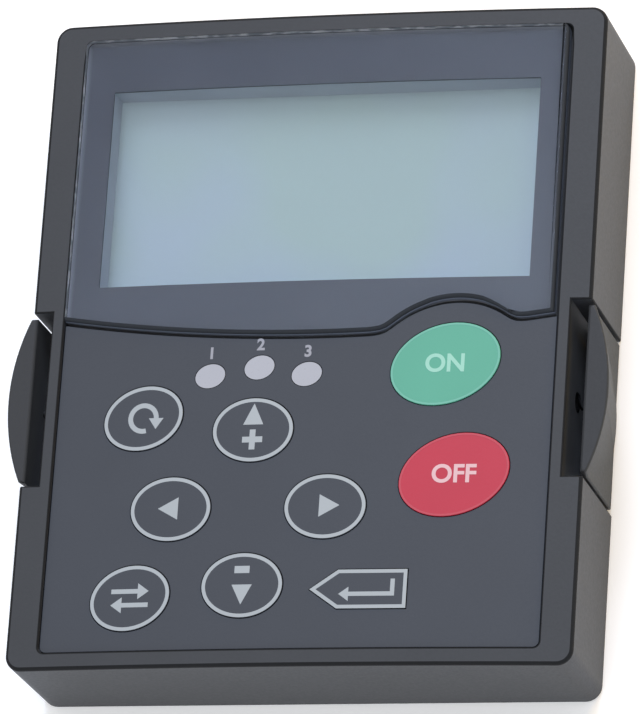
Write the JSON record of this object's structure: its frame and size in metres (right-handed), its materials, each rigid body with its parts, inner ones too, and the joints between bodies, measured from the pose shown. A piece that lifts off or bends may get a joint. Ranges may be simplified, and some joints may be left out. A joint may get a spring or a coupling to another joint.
{
  "type": "variable frequency drive keypad",
  "caption": "Detachable operator keypad of a motor drive: a display behind a clear lens, oval keys, status lamps, side thumb latches and a rear plug-in connector.",
  "frame": {"origin": "middle of the flat rear face", "axes": "+Z out of the crowned front face, +Y towards the display end, +X to the right as the keypad is read"},
  "size_m": [0.0922, 0.102, 0.0208],
  "materials": {
    "housing_abs": "fine moulded texture, dark grey",
    "overlay_film": "fine textured printed film, dark blue-grey",
    "lens_clear": "clear glossy moulding",
    "mask_print": "printed film, blue-grey",
    "display_glass": "pale blue-grey polarised glass",
    "black_plastic": "satin black moulding",
    "white_plastic": "milky acrylic",
    "lamp_white": "milky acrylic",
    "key_grey": "fine textured, dark blue-grey",
    "key_green": "fine textured, green",
    "key_red": "fine textured, red",
    "foam": "closed-cell foam",
    "silicone": "matt silicone rubber",
    "carbon": "carbon-filled",
    "strip_rubber": "striped elastomer",
    "board_laminate": "solder-masked glass epoxy",
    "steel": "zinc plated",
    "gold_contact": "gold plated",
    "tantalum": "moulded resin"
  },
  "bodies": {
    "housing": {"front_housing": "housing_abs", "rear_cover": "housing_abs", "cover_screws": "steel", "keypad_overlay": "overlay_film", "display_lens": "lens_clear", "lens_mask": "mask_print", "display_gasket": "foam", "lcd_glass": "display_glass", "lcd_polariser": "display_glass", "lcd_frame": "black_plastic", "backlight_plate": "white_plastic", "backlight_lamps": "lamp_white", "lcd_contact_strips": "strip_rubber", "circuit_board": "board_laminate", "board_screws": "steel", "controller_chip": "black_plastic", "memory_chip": "black_plastic", "line_driver_chip": "black_plastic", "voltage_regulator": "black_plastic", "crystal_can": "steel", "storage_capacitors": "tantalum", "chip_resistors": "black_plastic", "contact_pads": "carbon", "status_lamps": "white_plastic", "light_guide": "lamp_white", "key_mat": "silicone", "contact_pills": "carbon", "connector_shell": "steel", "connector_insulator": "black_plastic", "connector_contacts": "gold_contact", "connector_rivets": "steel", "latch_pin_left": "steel", "latch_pin_right": "steel", "latch_spring_left": "steel", "latch_spring_right": "steel"},
    "key_reset": {"key_reset": "key_grey"},
    "key_local_remote": {"key_local_remote": "key_grey"},
    "key_up": {"key_up": "key_grey"},
    "key_down": {"key_down": "key_grey"},
    "key_left": {"key_left": "key_grey"},
    "key_right": {"key_right": "key_grey"},
    "key_start": {"key_start": "key_green"},
    "key_stop": {"key_stop": "key_red"},
    "key_enter": {"key_enter": "key_grey"},
    "latch_left": {"latch_left": "housing_abs"},
    "latch_right": {"latch_right": "housing_abs"}
  },
  "joints": [
    {"name": "key_reset_press", "type": "slide", "parent": "housing", "child": "key_reset", "axis": [0, 0, -1], "range_m": [0, 0.0005], "stiffness_N_per_m": 3000, "deforming": ["key_mat"]},
    {"name": "key_local_remote_press", "type": "slide", "parent": "housing", "child": "key_local_remote", "axis": [0, 0, -1], "range_m": [0, 0.0005], "stiffness_N_per_m": 3000, "deforming": ["key_mat"]},
    {"name": "key_up_press", "type": "slide", "parent": "housing", "child": "key_up", "axis": [0, 0, -1], "range_m": [0, 0.0005], "stiffness_N_per_m": 3000, "deforming": ["key_mat"]},
    {"name": "key_down_press", "type": "slide", "parent": "housing", "child": "key_down", "axis": [0, 0, -1], "range_m": [0, 0.0005], "stiffness_N_per_m": 3000, "deforming": ["key_mat"]},
    {"name": "key_left_press", "type": "slide", "parent": "housing", "child": "key_left", "axis": [0, 0, -1], "range_m": [0, 0.0005], "stiffness_N_per_m": 3000, "deforming": ["key_mat"]},
    {"name": "key_right_press", "type": "slide", "parent": "housing", "child": "key_right", "axis": [0, 0, -1], "range_m": [0, 0.0005], "stiffness_N_per_m": 3000, "deforming": ["key_mat"]},
    {"name": "key_start_press", "type": "slide", "parent": "housing", "child": "key_start", "axis": [0, 0, -1], "range_m": [0, 0.0005], "stiffness_N_per_m": 3000, "deforming": ["key_mat"]},
    {"name": "key_stop_press", "type": "slide", "parent": "housing", "child": "key_stop", "axis": [0, 0, -1], "range_m": [0, 0.0005], "stiffness_N_per_m": 3000, "deforming": ["key_mat"]},
    {"name": "key_enter_press", "type": "slide", "parent": "housing", "child": "key_enter", "axis": [0, 0, -1], "range_m": [0, 0.0005], "stiffness_N_per_m": 3000, "deforming": ["key_mat"]},
    {"name": "latch_left_squeeze", "type": "hinge", "parent": "housing", "child": "latch_left", "pos_m": [-0.04145, -0.0088, 0.0065], "axis": [0, 1, 0], "range_deg": [0, 9], "stiffness_Nm_per_rad": 0.15, "springref_deg": -5.73, "deforming": ["latch_spring_left"]},
    {"name": "latch_right_squeeze", "type": "hinge", "parent": "housing", "child": "latch_right", "pos_m": [0.04145, -0.0088, 0.0065], "axis": [0, -1, 0], "range_deg": [0, 9], "stiffness_Nm_per_rad": 0.15, "springref_deg": -5.73, "deforming": ["latch_spring_right"]}
  ]
}
